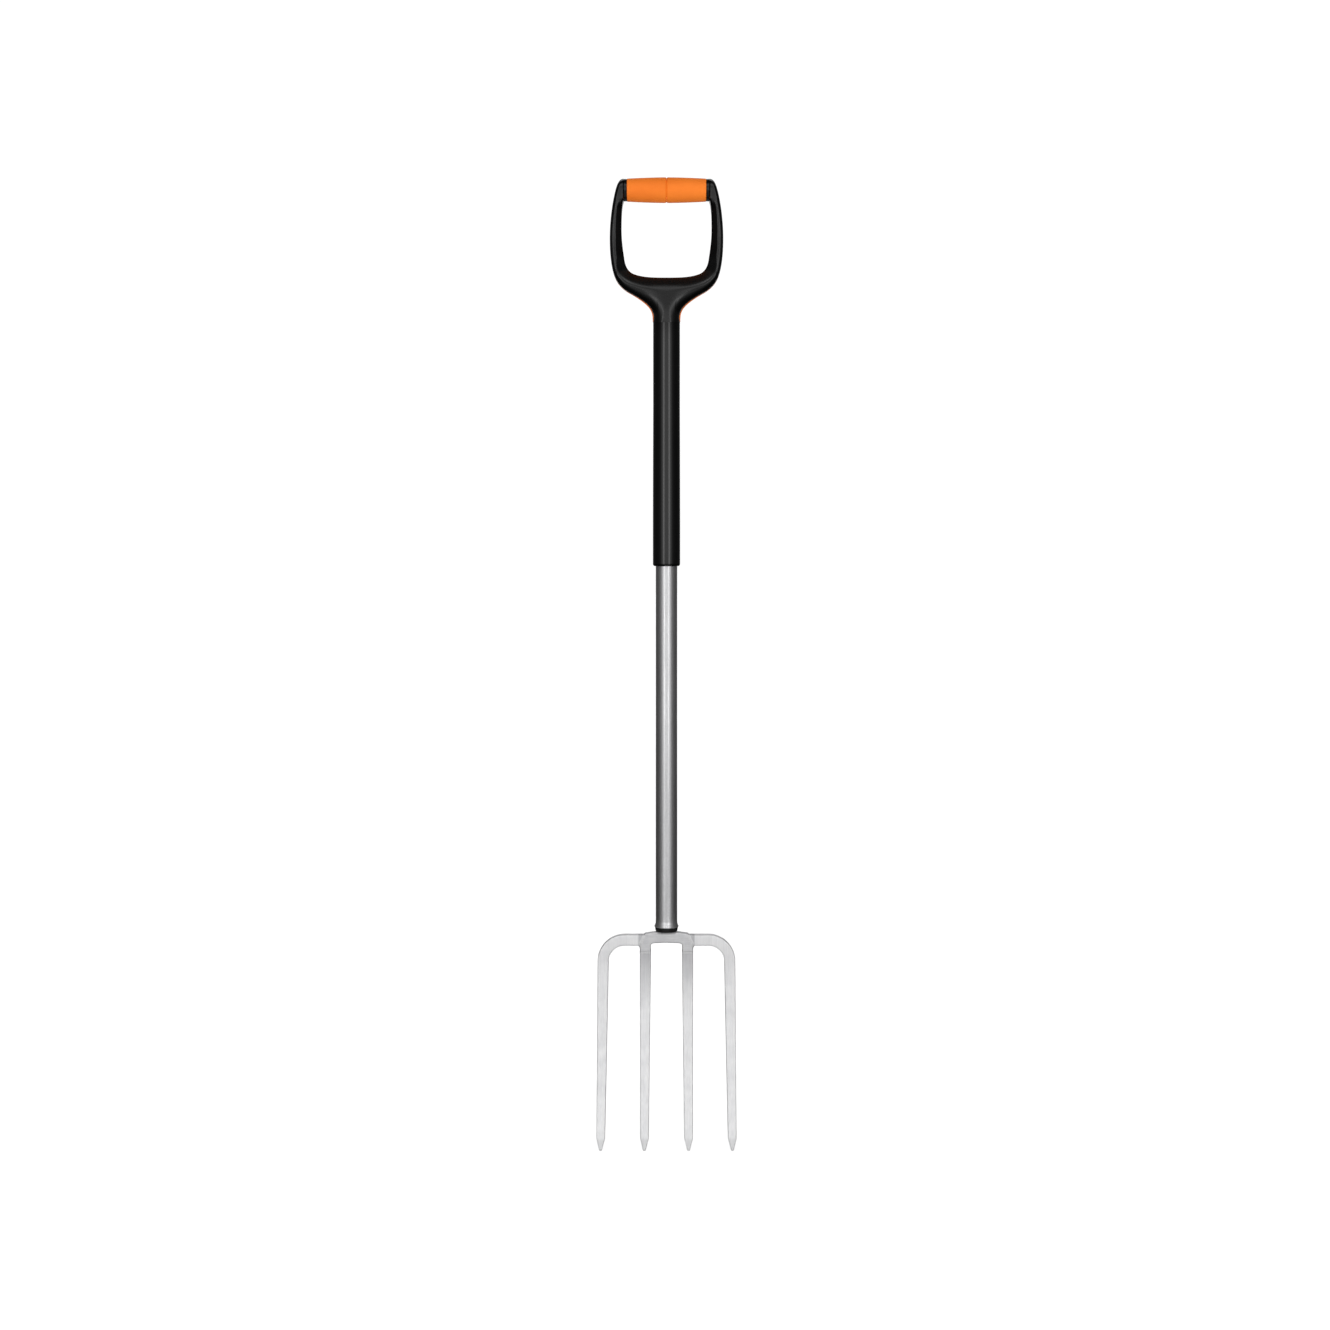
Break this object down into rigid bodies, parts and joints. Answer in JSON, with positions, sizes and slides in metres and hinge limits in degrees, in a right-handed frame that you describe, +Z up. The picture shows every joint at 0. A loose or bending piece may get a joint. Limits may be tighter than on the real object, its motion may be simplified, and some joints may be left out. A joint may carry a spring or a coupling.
{
  "type": "digging fork",
  "caption": "Garden digging fork with flat pointed tines welded to a forged bridge, a steel tube shaft in a black sleeve and a D-shaped handle with a soft orange grip.",
  "frame": {"origin": "the lowest place under the middle of the grip, where the fork hangs on a peg", "axes": "+Z up along the shaft towards the grip, +X to the right across the tines, +Y to the back, so the tines bow towards -Y"},
  "size_m": [0.1688, 0.0419, 1.1599],
  "materials": {
    "forged_steel": "satin, forged and ground",
    "tine_steel": "satin, ground lengthwise",
    "weld_steel": "weld bead dressed nearly flush",
    "tube_steel": "silver grey metallic lacquer, satin",
    "seal_rubber": "matte",
    "sleeve_plastic": "satin black",
    "handle_plastic": "satin black, fine moulded grain",
    "soft_orange": "soft-touch, matte",
    "screw_steel": "dark zinc plated"
  },
  "bodies": {
    "root": {"head_bridge": "forged_steel", "outer_tine_left": "tine_steel", "outer_tine_right": "tine_steel", "inner_tine_left": "tine_steel", "inner_tine_right": "tine_steel", "weld_outer_left": "weld_steel", "weld_outer_right": "weld_steel", "weld_inner_left": "weld_steel", "weld_inner_right": "weld_steel", "neck_ring": "seal_rubber", "shaft_tube": "tube_steel", "shaft_sleeve": "sleeve_plastic", "handle_frame": "handle_plastic", "yoke_back_pad": "soft_orange", "grip_crossbar": "handle_plastic", "grip_sleeve_left": "soft_orange", "grip_sleeve_right": "soft_orange", "handle_screw_upper": "screw_steel", "handle_screw_lower": "screw_steel"}
  },
  "joints": []
}
